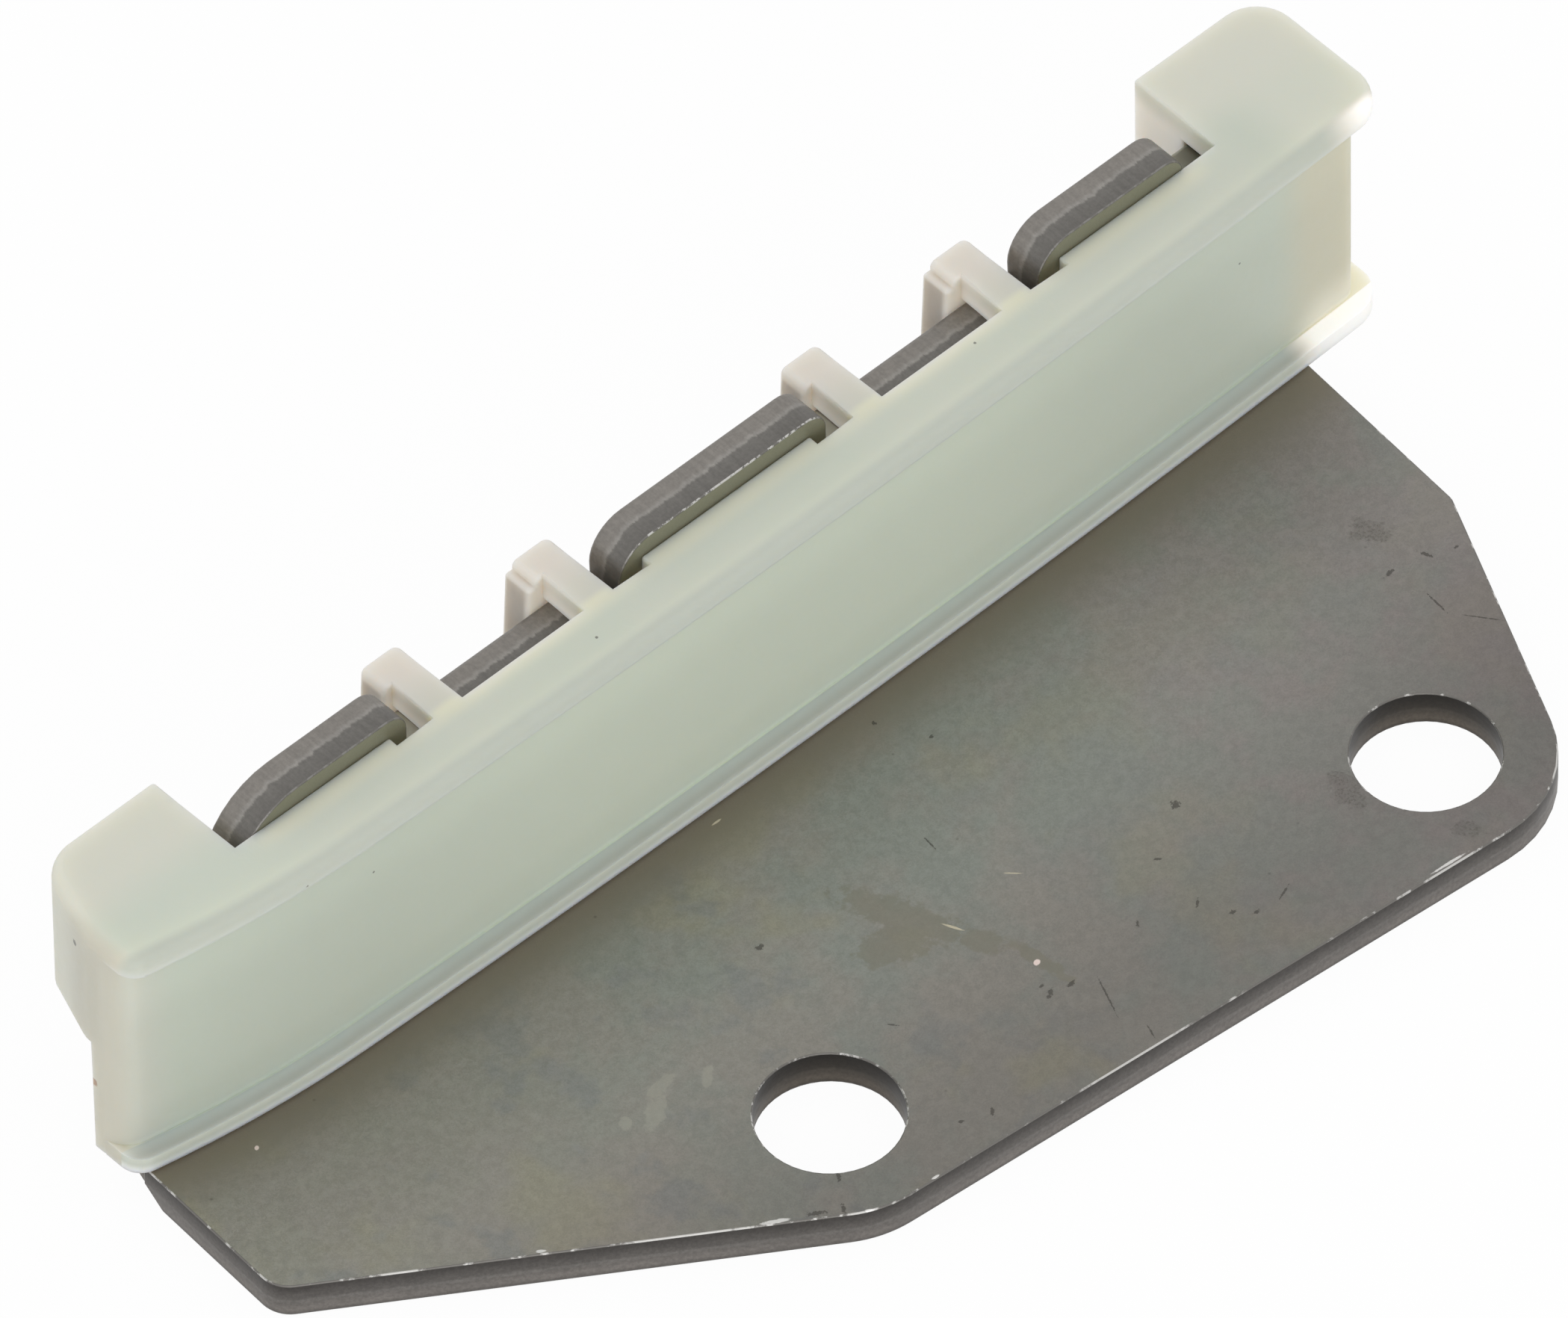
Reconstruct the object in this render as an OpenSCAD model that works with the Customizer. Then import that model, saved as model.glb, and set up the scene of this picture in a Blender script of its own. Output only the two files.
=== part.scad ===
// Timing chain guide: a stamped steel bracket with a moulded nylon shoe pressed down over its upright flange.
// Origin: centre of the left bolt hole on the mounting face. X runs along the shoe, Y to the flange, Z up.

/* [Sheet] */
// Steel sheet thickness
sheet_t = 2.6; // [1.5:0.1:4]
// Inside radius of the bend
bend_r = 2; // [0.5:0.1:3]
// Back face of the flange, from the left bolt hole
flange_back = 27.7; // [22:0.1:36]
// Left end of the flange
flange_left = -29.2; // [-34:0.1:-26]
// Right end of the flange
flange_right = 56.4; // [54:0.1:60]

/* [Base plate] */
// Bolt hole diameter
hole_d = 8.5; // [5:0.1:12]
// Right bolt hole, distance along the shoe
hole_dx = 41.5; // [30:0.1:48]
// Right bolt hole, distance across the shoe
hole_dy = -3.8; // [-10:0.1:4]
// Radius of the plate round each bolt hole
ear_r = 7.3; // [6.5:0.1:10]
// Left front corner, distance along the shoe to the centre of its radius
corner_left_x = -28.4; // [-36:0.1:-20]
// Left front corner, distance across the shoe to the centre of its radius
corner_left_y = 12.8; // [6:0.1:18]
// Left front corner radius
corner_left_r = 2; // [0.5:0.1:5]
// Right front corner, distance along the shoe to the centre of its radius
corner_right_x = 54.3; // [50:0.1:58]
// Right front corner, distance across the shoe to the centre of its radius
corner_right_y = 8.8; // [4:0.1:16]
// Right front corner radius
corner_right_r = 1; // [0.5:0.1:5]
// Left end of the plate at the bend
plate_left = -29.8; // [-34:0.1:-29]
// Length of the plate drawn in with the outside of the bend at its left end
draw_l = 1.6; // [0.5:0.1:3]
// Tilt of the drawn-in corner, in degrees
draw_tilt = 21; // [5:1:40]
// Turn of the drawn-in corner, in degrees
draw_turn = 18; // [5:1:40]

/* [Flange tabs] */
// Top of the flange between the tabs, above the mounting face
flange_top = 18.4; // [12:0.1:24]
// Height of the tabs above the flange top
tab_rise = 3.4; // [2.6:0.1:6]
// Left end of the left tab
tab1_left = -20.9; // [-21.5:0.1:-16]
// Right end of the left tab
tab1_right = -7.9; // [-12:0.1:-7]
// Top left corner radius of the left tab
tab1_r = 5; // [1.5:0.1:6]
// Left end of the middle tab
tab2_left = 7.9; // [7:0.1:12]
// Right end of the middle tab
tab2_right = 23.5; // [18:0.1:24.5]
// Left end of the right tab
tab3_left = 39.4; // [38.5:0.1:43]
// Right end of the right tab
tab3_right = 50.5; // [46:0.1:52]
// Top left corner radius of the middle and right tabs
tab_left_r = 2.5; // [0.5:0.1:3]
// Top right corner radius of the tabs
tab_right_r = 1.5; // [0.5:0.1:3]

/* [Shoe channel] */
// Middle of the shoe, from the left bolt hole
shoe_x = 15.85; // [14:0.05:18]
// Half length of the shoe
shoe_half = 46.6; // [46:0.1:50]
// Gap between the plate and the shoe
seat_gap = 0.15; // [0.05:0.05:0.5]
// Height of the shoe
shoe_h = 17.8; // [14:0.1:22]
// Front of the lips at the middle of the shoe, ahead of the flange's back face
lip_out = 7.4; // [7:0.1:10]
// Depth of the channel behind the lips
lip_d = 1.2; // [0.6:0.1:1.4]
// Thickness of each lip
lip_t = 1.2; // [0.8:0.1:2]
// Radius along the top front edge
lip_r = 1; // [0.3:0.1:1.1]
// Radius along the top edges of the end blocks
edge_r = 0.25; // [0.1:0.05:0.6]
// Wall thickness behind the channel
wall_t = 3.1; // [2:0.1:3.4]
// Radius of the running arc
run_r = 1250; // [600:10:2000]
// Radius of the lead-in arc at the left end
lead_r = 78; // [60:1:150]
// Start of the lead-in, from the middle of the shoe
lead_start = 31.2; // [24:0.1:36]
// Left front corner radius of the lips
lip_left_r = 1.5; // [1.5:0.1:3]
// Right front corner radius of the lips
lip_right_r = 2.3; // [1.5:0.1:3]
// Left corner radius of the wall behind the channel
wall_left_r = 1.9; // [1:0.1:2.4]
// Clearance between the shoe and the flange
fit_gap = 0.05; // [0.02:0.01:0.2]

/* [Shoe end blocks] */
// Depth of the end posts behind the wall
post_d = 1.5; // [1:0.1:2.5]
// Front of the end posts, ahead of the flange's back face
post_out = 3.2; // [2.8:0.1:3.6]
// Back of the end blocks, behind the flange
block_out = 3.95; // [2.8:0.05:6]
// Underside of the end blocks and hooks, above the mounting face
block_z = 11.4; // [7:0.1:15]
// Inner face of the left block, from the middle of the shoe
block_left_in = 36.55; // [34:0.05:38]
// Inner face of the right block, from the middle of the shoe
block_right_in = 37.05; // [36:0.05:38.5]
// Outer back corner radius of the blocks
block_r = 2.5; // [1:0.1:3.5]
// Lean of the left block's outer side at the back
block_lean = 1.1; // [0:0.1:2.5]

/* [Shoe arms] */
// Inner pair of arms, from the middle of the shoe
arm_inner = 10.1; // [9:0.05:11]
// Outer pair of arms, from the middle of the shoe
arm_outer = 21.35; // [20.5:0.05:22]
// Width of an arm
arm_w = 2.15; // [1.2:0.05:2.4]
// Gap under the arms above the flange top
arm_gap = 0.2; // [0.05:0.05:0.5]
// Back of the hooks, behind the flange
hook_out = 2.05; // [1.1:0.05:3.3]
// Extra width of the hooks on their left
hook_side = 0.55; // [0.1:0.05:1]
// Corner radius of the hooks
hook_r = 0.45; // [0.1:0.05:0.5]
// Width of the ledge on the second and fourth hooks
hook_step = 0.5; // [0.2:0.05:1]
// Depth of that ledge below the top face
hook_drop = 0.6; // [0.55:0.05:1.5]
// Spread of the hooks at their foot
hook_draft = 0.45; // [0.1:0.05:0.8]
// Front edge of the narrow windows and of the recesses beside the arms, ahead of the flange's back face
recess_out = 3.3; // [2.9:0.1:4]
// Length of a recess beside an arm
recess_w = 2.7; // [1:0.1:3.5]
// Depth of the recesses below the top face
recess_h = 3.5; // [2.4:0.1:6]

/* [Hidden] */
$fn = 64;
over = 1;
corner_n = 8;
long_n = 16;
flange_front = flange_back - sheet_t;
bend_out = bend_r + sheet_t;
bend_y = flange_back - bend_out;
tab_top = flange_top + tab_rise;
shoe_z = sheet_t + seat_gap;
shoe_top = shoe_z + shoe_h;
shoe_left = shoe_x - shoe_half;
shoe_right = shoe_x + shoe_half;
heel = bend_r + fit_gap;
slot_front = flange_front - fit_gap;
slot_back = flange_back + fit_gap;
arm_z = flange_top + arm_gap;
lip_front = flange_back - lip_out;
post_front = flange_back - post_out;
post_back = post_front + post_d;
block_back = flange_back + block_out;
hook_back = flange_back + hook_out;
recess_y = flange_back - recess_out;
arms = [shoe_x - arm_outer, shoe_x - arm_inner, shoe_x + arm_inner, shoe_x + arm_outer];
block_left_x = shoe_x - block_left_in;
block_right_x = shoe_x + block_right_in;
rim_lap = 0.2;

// Centres of the running arc, the lead-in arc and the corners at the ends of the lips and the wall
run_c = [shoe_x, lip_front + run_r];
lead_a = asin(lead_start / run_r);
lead_c = run_c - (run_r - lead_r) * [sin(lead_a), cos(lead_a)];
left_c = left_corner(lip_left_r, lead_r);
left_a = left_turn(lip_left_r, lead_r);
wall_c = left_corner(wall_left_r, lead_r - lip_d);
wall_a = left_turn(wall_left_r, lead_r - lip_d);
right_in = shoe_right - lip_right_r - run_c.x;
right_c = run_c + [right_in, -sqrt(pow(run_r - lip_right_r, 2) - right_in * right_in)];
right_a = asin(right_in / (run_r - lip_right_r));

// Centres of the end block corners and the lean of the left block's side
block_left_c = [shoe_left + block_lean + block_r, block_back - block_r];
block_right_c = [shoe_right - block_r, block_back - block_r];
post_left_c = [shoe_left + block_r, post_back];
lean_a = atan2(block_lean, block_left_c.y - post_left_c.y);

// Points along an arc, without its last one
function arc(c, r, a0, a1, n) = [
    for (i = [0 : n - 1])
        let (a = a0 + (a1 - a0) * i / n)
        c + r * [cos(a), sin(a)]
];

// Points along an arc, with its last one
function whole_arc(c, r, a0, a1, n) = concat(arc(c, r, a0, a1, n), [c + r * [cos(a1), sin(a1)]]);

// Centre of a corner of radius r between the shoe's left end and a lead-in of radius big
function left_corner(r, big) =
    let (x = shoe_left + r - lead_c.x)
    lead_c + [x, -sqrt(pow(big - r, 2) - x * x)];

// Angle, from straight ahead, at which that corner meets the lead-in
function left_turn(r, big) = asin((lead_c.x - shoe_left - r) / (big - r));

// Heading, in degrees, square to the outer tangent of two discs [x, y, r] listed anticlockwise
function side(a, b) = atan2(b.y - a.y, b.x - a.x) - acos((a.z - b.z) / norm([b.x - a.x, b.y - a.y]));

// Part of an outline that follows one disc from heading a0 round to a1; a disc of radius 0 is a plain corner
function bend_round(d, a0, a1) =
    d.z == 0 ? [[d.x, d.y]] : whole_arc([d.x, d.y], d.z, a0, a0 + (a1 - a0 + 720) % 360, corner_n);

// Outline drawn tight round a list of discs
function belt(discs) = [
    for (i = [0 : len(discs) - 1])
        let (
            last = discs[(i + len(discs) - 1) % len(discs)],
            next = discs[(i + 1) % len(discs)]
        )
        each bend_round(discs[i], side(last, discs[i]), side(discs[i], next))
];

// Upright shape drawn in X and Z, filling y0 to y1
module upright(y0, y1) {
    translate([0, y1, 0]) rotate([90, 0, 0]) linear_extrude(y1 - y0) children();
}

module box(from, to) {
    translate(from) cube(to - from);
}

module tab_face(x0, x1, r0) {
    r1 = tab_right_r;
    polygon(concat(
        [[x0 + r0, flange_top - over], [x0, min(flange_top, tab_top - r0) - over]],
        whole_arc([x0 + r0, tab_top - r0], r0, 180, 90, corner_n),
        whole_arc([x1 - r1, tab_top - r1], r1, 90, 0, corner_n),
        [[x1, flange_top - over]]
    ));
}

module flange() {
    upright(flange_front, flange_back) {
        translate([flange_left, bend_out]) square([flange_right - flange_left, flange_top - bend_out]);
        tab_face(tab1_left, tab1_right, tab1_r);
        tab_face(tab2_left, tab2_right, tab_left_r);
        tab_face(tab3_left, tab3_right, tab_left_r);
    }
}

module bend() {
    translate([flange_left, bend_y, bend_out])
        rotate([90, 0, 90])
            linear_extrude(flange_right - flange_left)
                intersection() {
                    difference() {
                        circle(bend_out);
                        circle(bend_r);
                    }
                    translate([0, -bend_out]) square(bend_out);
                }
}

module plate_outline() {
    polygon(belt([
        [0, 0, ear_r],
        [hole_dx, hole_dy, ear_r],
        [corner_right_x, corner_right_y, corner_right_r],
        [flange_right, bend_y, 0],
        [plate_left, bend_y, 0],
        [corner_left_x, corner_left_y, corner_left_r]
    ]));
}

// Slanted cut where bending draws in the outside of the sheet
module draw_in() {
    reach = 3 * bend_out;
    translate([plate_left, bend_y - draw_l, 0])
        rotate([0, -draw_tilt, -draw_turn])
            box([-reach, -reach, -reach], [0, reach, reach]);
}

module bracket() {
    color("#7d7d76")
        difference() {
            union() {
                linear_extrude(sheet_t) plate_outline();
                bend();
                flange();
            }
            for (p = [[0, 0], [hole_dx, hole_dy]]) {
                translate([p.x, p.y, -over]) cylinder(d = hole_d, h = sheet_t + 2 * over);
            }
            draw_in();
        }
}

// Outline of the shoe drawn in by d, anticlockwise, in the pieces that meet at the end blocks
function left_side(d) = concat(
    [[block_left_x, block_back - d]],
    arc(block_left_c, block_r - d, 90, 180 - lean_a, corner_n),
    whole_arc(post_left_c, block_r - d, 180 - lean_a, 180, 2)
);
function lips(d) = concat(
    arc(left_c, lip_left_r - d, 180, 270 - left_a, corner_n),
    arc(lead_c, lead_r - d, 270 - left_a, 270 - lead_a, corner_n),
    arc(run_c, run_r - d, 270 - lead_a, 270 + right_a, long_n)
);
function right_turn(d) = whole_arc(right_c, lip_right_r - d, 270 + right_a, 360, corner_n);
function right_side(d) = concat(
    whole_arc(block_right_c, block_r - d, 0, 90, corner_n),
    [[block_right_x, block_back - d]]
);
function around(d) = concat(left_side(d), lips(d), right_turn(d), right_side(d));

// Even steps from a to b, as many as there are points in the list
function grade(list, a, b) = [for (i = [0 : len(list) - 1]) a + (b - a) * i / (len(list) - 1)];

// Front part of the shoe, back to the posts
module front_outline(d) {
    polygon(concat([[shoe_left + d, post_back]], lips(d), right_turn(d), [[shoe_right - d, post_back]]));
}

// How far forward the left block's side runs before it meets the wall's rounded corner
function left_front(d) = max(post_front, wall_c.y - sqrt(d * (2 * wall_left_r - d)));

module left_outline(d) {
    polygon(concat(
        left_side(d),
        [[shoe_left + d, left_front(d)], [wall_c.x, post_front], [block_left_x, post_front]]
    ));
}

module right_outline(d) {
    polygon(concat([[block_right_x, post_front], [shoe_right - d, post_front]], right_side(d)));
}

// Rounded top edge, run round the outside of the shoe from block to block
module rim() {
    line = around(0);
    inward = around(1) - line;
    radii = concat(
        grade(left_side(0), edge_r, lip_r),
        grade(lips(0), lip_r, lip_r),
        grade(right_turn(0), lip_r, edge_r),
        grade(right_side(0), edge_r, edge_r)
    );
    lap = lip_r + rim_lap;
    rows = concat(
        [[for (r = radii) [lap, -lip_t]], [for (r = radii) [0, -lip_t]]],
        [for (a = [0 : 90 / corner_n : 90]) [for (r = radii) r * [1 - cos(a), sin(a) - 1]]],
        [[for (r = radii) [lap, 0]]]
    );
    n = len(line);
    m = len(rows);
    polyhedron(
        points = [
            for (row = rows)
                for (i = [0 : n - 1])
                    let (q = line[i] + row[i].x * inward[i])
                    [q.x, q.y, shoe_top + row[i].y]
        ],
        faces = concat(
            [
                for (j = [0 : m - 1])
                    for (i = [0 : n - 2])
                        let (a = j * n + i, b = ((j + 1) % m) * n + i)
                        for (f = [[a, b, b + 1], [a, b + 1, a + 1]])
                            f
            ],
            [[for (j = [m - 1 : -1 : 0]) j * n]],
            [[for (j = [0 : m - 1]) j * n + n - 1]]
        )
    );
}

// Wall behind the channel with the left end post, its back concentric with the running face
module wall() {
    back_r = run_r - lip_d - wall_t;
    back_a = asin((shoe_half - 2 * lip_right_r) / back_r);
    translate([0, 0, shoe_z])
        linear_extrude(shoe_h - lip_r)
            polygon(concat(
                [[flange_left, post_back], [shoe_left, post_back]],
                arc(wall_c, wall_left_r, 180, 270 - wall_a, corner_n),
                arc(lead_c, lead_r - lip_d, 270 - wall_a, 270 - lead_a, corner_n),
                arc(run_c, run_r - lip_d, 270 - lead_a, 270 + right_a, long_n),
                right_turn(lip_d),
                [[shoe_right - lip_d, post_front]],
                whole_arc(run_c, back_r, 270 + back_a, 270 - back_a, long_n)
            ));
}

module channel() {
    wall();
    translate([0, 0, shoe_z]) linear_extrude(lip_t) lip_slab(0);
    translate([0, 0, shoe_top - lip_t]) linear_extrude(lip_t) lip_slab(lip_r + rim_lap / 2);
    rim();
}

// One lip across the wall to its back
module lip_slab(d) {
    intersection() {
        front_outline(d);
        translate([shoe_left, 0]) square([2 * shoe_half, slot_front]);
    }
}

module left_block() {
    translate([0, 0, block_z]) linear_extrude(shoe_top - lip_t - block_z) left_outline(0);
    translate([0, 0, block_z]) linear_extrude(shoe_top - block_z) left_outline(lip_r + rim_lap / 2);
}

module right_block() {
    box([flange_right, post_front, shoe_z], [shoe_right, post_back, shoe_top - lip_t]);
    translate([0, 0, block_z]) linear_extrude(shoe_top - lip_t - block_z) right_outline(0);
    translate([0, 0, block_z]) linear_extrude(shoe_top - block_z) right_outline(lip_r + rim_lap / 2);
}

module arm(x) {
    box([x - arm_w / 2, recess_y - over, arm_z], [x + arm_w / 2, hook_back - hook_r, shoe_top]);
}

// Hook behind the flange, set down from an arm at x, with a ledge on its left unless step is 0
module hook(x, step) {
    right = x + arm_w / 2;
    left = x - arm_w / 2 - hook_side;
    ledge = shoe_top - hook_drop;
    foot = left - step - hook_draft;
    intersection() {
        upright(slot_back, hook_back)
            polygon(concat(
                [[right, block_z], [right, shoe_top]],
                whole_arc([left + hook_r, shoe_top - hook_r], hook_r, 90, 180, corner_n),
                step > 0 ? [[left, ledge], [left - step, ledge]] : [],
                [[foot, block_z]]
            ));
        translate([0, 0, block_z - over])
            linear_extrude(shoe_top - block_z + 2 * over)
                polygon(concat(
                    [[foot - over, slot_back - over], [right, slot_back - over]],
                    whole_arc([right - hook_r, hook_back - hook_r], hook_r, 0, 90, corner_n),
                    [[foot - over, hook_back]]
                ));
    }
}

// Room for the flange and its bend, open below
module flange_slot() {
    translate([flange_left - fit_gap, 0, 0])
        rotate([90, 0, 90])
            linear_extrude(flange_right - flange_left + 2 * fit_gap)
                polygon([
                    [slot_back, shoe_z - over],
                    [slot_back, arm_z],
                    [slot_front, arm_z],
                    [slot_front, shoe_z + heel],
                    [slot_front - heel, shoe_z],
                    [slot_front - heel, shoe_z - over]
                ]);
}

// Opening in the top face between x0 and x1, from its front edge back past the flange
module window(x0, x1, front, deep) {
    box([x0, front, shoe_top - deep], [x1, slot_back, shoe_top + over]);
}

module windows() {
    gap = arm_w / 2;
    deep = shoe_top - flange_top + over / 2;
    window(block_left_x, arms[0] - gap, slot_front, deep);
    window(arms[1] + gap, arms[2] - gap, slot_front, deep);
    window(arms[3] + gap, block_right_x, slot_front, deep);
    window(arms[0] + gap, arms[1] - gap, recess_y, recess_h);
    window(arms[2] + gap, arms[3] - gap, recess_y, recess_h);
    window(arms[0] - gap - recess_w, arms[0] - gap, recess_y, recess_h);
    window(arms[1] + gap, arms[1] + gap + recess_w, recess_y, recess_h);
    window(arms[2] - gap - recess_w, arms[2] - gap, recess_y, recess_h);
    window(arms[3] + gap, arms[3] + gap + recess_w, recess_y, recess_h);
}

module guide_shoe() {
    color("#d8dcd0") {
        difference() {
            union() {
                channel();
                left_block();
                right_block();
                for (x = arms) {
                    arm(x);
                }
            }
            flange_slot();
            windows();
        }
        hook(arms[0], 0);
        hook(arms[1], hook_step);
        hook(arms[2], 0);
        hook(arms[3], hook_step);
    }
}

bracket();
guide_shoe();
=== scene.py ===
import math

import bmesh
import bpy
from mathutils import Matrix, Vector


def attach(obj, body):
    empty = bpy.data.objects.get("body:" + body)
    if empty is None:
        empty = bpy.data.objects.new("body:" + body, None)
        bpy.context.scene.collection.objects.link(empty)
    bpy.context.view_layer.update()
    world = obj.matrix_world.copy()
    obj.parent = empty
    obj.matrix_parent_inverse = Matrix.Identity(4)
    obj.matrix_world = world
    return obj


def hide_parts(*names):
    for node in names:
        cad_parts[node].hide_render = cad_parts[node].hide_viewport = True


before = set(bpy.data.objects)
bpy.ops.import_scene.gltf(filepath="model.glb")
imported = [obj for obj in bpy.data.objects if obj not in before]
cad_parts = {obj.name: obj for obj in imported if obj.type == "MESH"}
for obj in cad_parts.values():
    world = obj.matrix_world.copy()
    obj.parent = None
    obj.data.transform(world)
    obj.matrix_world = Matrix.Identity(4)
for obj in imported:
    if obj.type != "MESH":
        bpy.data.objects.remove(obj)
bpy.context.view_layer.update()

MM = 0.001
scene = bpy.context.scene
scene.view_settings.view_transform = "Standard"

# Sizes of the part that the looks follow, in millimetres
SHEET = 2.6
BEND_IN = 2.0
FLANGE_BACK = 27.7
FLANGE_RIGHT = 56.4
FLANGE_TOP = 18.4
BEND_OUT = BEND_IN + SHEET
BEND_Y = FLANGE_BACK - BEND_OUT
SHOE_X = 15.85
SHOE_TOP = 20.55
LIP_FRONT = 20.3
LIP_DEPTH = 1.2
RUN_R = 1250.0
LEAD_START = 31.2
LEAD_R = 78.0
FINGERS = (-5.5, 5.75, 25.95, 37.2)

# The photograph's view: degrees, millimetres, and pixels of the 2099 x 1764 picture
VIEW_BEARING, VIEW_RISE, VIEW_ROLL = 42.38, 49.65, -0.93
VIEW_DISTANCE, AIM_ACROSS, AIM_UP = 2276.0, -2.527, 26.540
PHOTO_WIDTH, PX_PER_MM = 2099, 24.429

# Share of the floor's own white where it is seen directly; the rest of it takes the shadow
FLOOR_GLOW = 0.96

# Widths of the worked edges, and the shortest edge that is rounded, in millimetres
DIE_ROLL = 0.32
BURR = 0.09
FINGER_ROUND = 0.2
MOULD_ROUND = 0.14
LIP_ROUND = 0.05
SHORT_EDGE = 0.3

# Marks on the plate: x, y, half length, half width in millimetres, and bearing in degrees
DARK_MARKS = (
    (5.3, 11.3, 0.28, 0.2, 0), (20.9, 18.7, 0.15, 0.15, 0), (22.5, 15.8, 0.15, 0.15, 0),
    (28.9, 3.0, 0.34, 0.28, 20), (21.5, -1.8, 0.25, 0.1, 60), (25.5, 0.8, 0.22, 0.1, -40),
    (6.5, -6.1, 0.3, 0.12, 60), (4.8, -5.4, 0.16, 0.14, 0), (6.8, 2.2, 0.3, 0.06, -50),
    (24.9, -3.0, 0.35, 0.1, 40), (25.9, -4.8, 0.25, 0.14, 0), (26.8, -5.7, 0.25, 0.14, 0),
    (28.9, -5.7, 0.6, 0.07, 20), (49.0, 7.0, 0.35, 0.15, 0), (51.4, 6.6, 0.5, 0.12, -70),
    (53.0, 5.8, 0.15, 0.12, 0), (49.4, 3.6, 0.8, 0.07, 85), (50.5, 1.1, 1.2, 0.05, -54),
    (17.2, 10.3, 0.55, 0.06, 85), (16.75, -4.4, 1.5, 0.06, 68), (16.75, -7.9, 0.5, 0.06, 72),
    (14.6, -2.1, 0.35, 0.16, 30), (15.9, -2.4, 0.3, 0.16, 0), (14.6, -1.4, 0.2, 0.1, 0),
    (-2.7, -3.6, 0.4, 0.13, 52), (-5.4, -4.7, 0.6, 0.15, -30), (-4.1, -5.5, 0.45, 0.13, 60),
)
SCUFFS = ((36.5, -2.8, 1.8, 0.9, 75), (39.3, -9.4, 1.1, 0.6, -73), (50.3, 9.9, 1.3, 0.9, -60))
STAINS = (
    (12.6, 7.3, 4.6, 1.3, -68), (10.9, 6.3, 2.6, 1.5, -20),
    (14.4, 3.2, 1.5, 0.9, -60), (15.85, -0.1, 2.6, 0.5, -84),
)
PALE_SMEARS = (
    (-6.9, 6.6, 1.3, 0.6, 30), (-5.4, 7.8, 1.2, 0.45, 15),
    (-8.6, 7.2, 0.6, 0.4, 60), (-3.0, 6.6, 0.9, 0.35, 40),
)
LIGHT_SCRATCHES = ((19.0, 5.6, 0.6, 0.05, -45), (14.0, 5.0, 0.75, 0.1, -65), (9.7, 19.5, 0.4, 0.08, 0))
CHALK_SPECKS = ((15.6, 0.0, 0.26, 0.2, 20), (-24.4, 19.8, 0.2, 0.14, 40))
# Burr lumps and lines along the edges, painted bright as glints on the bent-over metal
BURR_GLINT_LUMPS = (
    (-7.35, -3.6, 1.0, 0.16, -31), (-3.1, -6.55, 0.3, 0.1, -31), (1.1, -7.3, 0.3, 0.08, -5),
    (36.9, -10.45, 1.3, 0.1, -5), (-18.1, 3.7, 0.3, 0.12, -34),
)
BURR_GLINT_LINES = (
    (14.9, -8.7, 4.2, 0.8, -6), (36.9, -10.6, 1.8, 0.8, -5), (46.5, -9.5, 1.6, 0.8, 40),
    (-24.8, 8.0, 1.2, 0.8, -36), (-11.8, -0.6, 4.2, 0.8, -36), (-3.5, -6.4, 1.0, 0.8, -30),
)
# Dirt on the nylon: place and half width in millimetres, and colour
BLACK_DIRT, RUST_DIRT = (0.10, 0.10, 0.085, 1), (0.26, 0.13, 0.08, 1)
NYLON_DIRT = (
    ((-30.4, 27.53, 18.33), 0.24, BLACK_DIRT), ((3.83, 22.48, 20.55), 0.11, BLACK_DIRT),
    ((33.39, 23.7, 20.55), 0.1, BLACK_DIRT), ((51.87, 22.0, 13.91), 0.09, BLACK_DIRT),
    ((-19.17, 21.0, 19.61), 0.14, BLACK_DIRT), ((-13.49, 21.86, 15.35), 0.09, BLACK_DIRT),
    ((-30.75, 25.92, 8.25), 0.35, RUST_DIRT),
)
# Bolt holes: centres and radius
HOLES = ((0.0, 0.0), (41.5, -3.8))
HOLE_R = 4.25
# Along x: where the middle tab's painted burr glint starts, is full, fades and ends; the gaps at the tabs'
# far ends
MIDDLE_TAB_GLINT = (8.2, 10.0, 22.4, 23.4)
TAB_GAPS = ((-7.9, -6.5), (23.5, 24.9), (50.5, 53.0))


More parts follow.
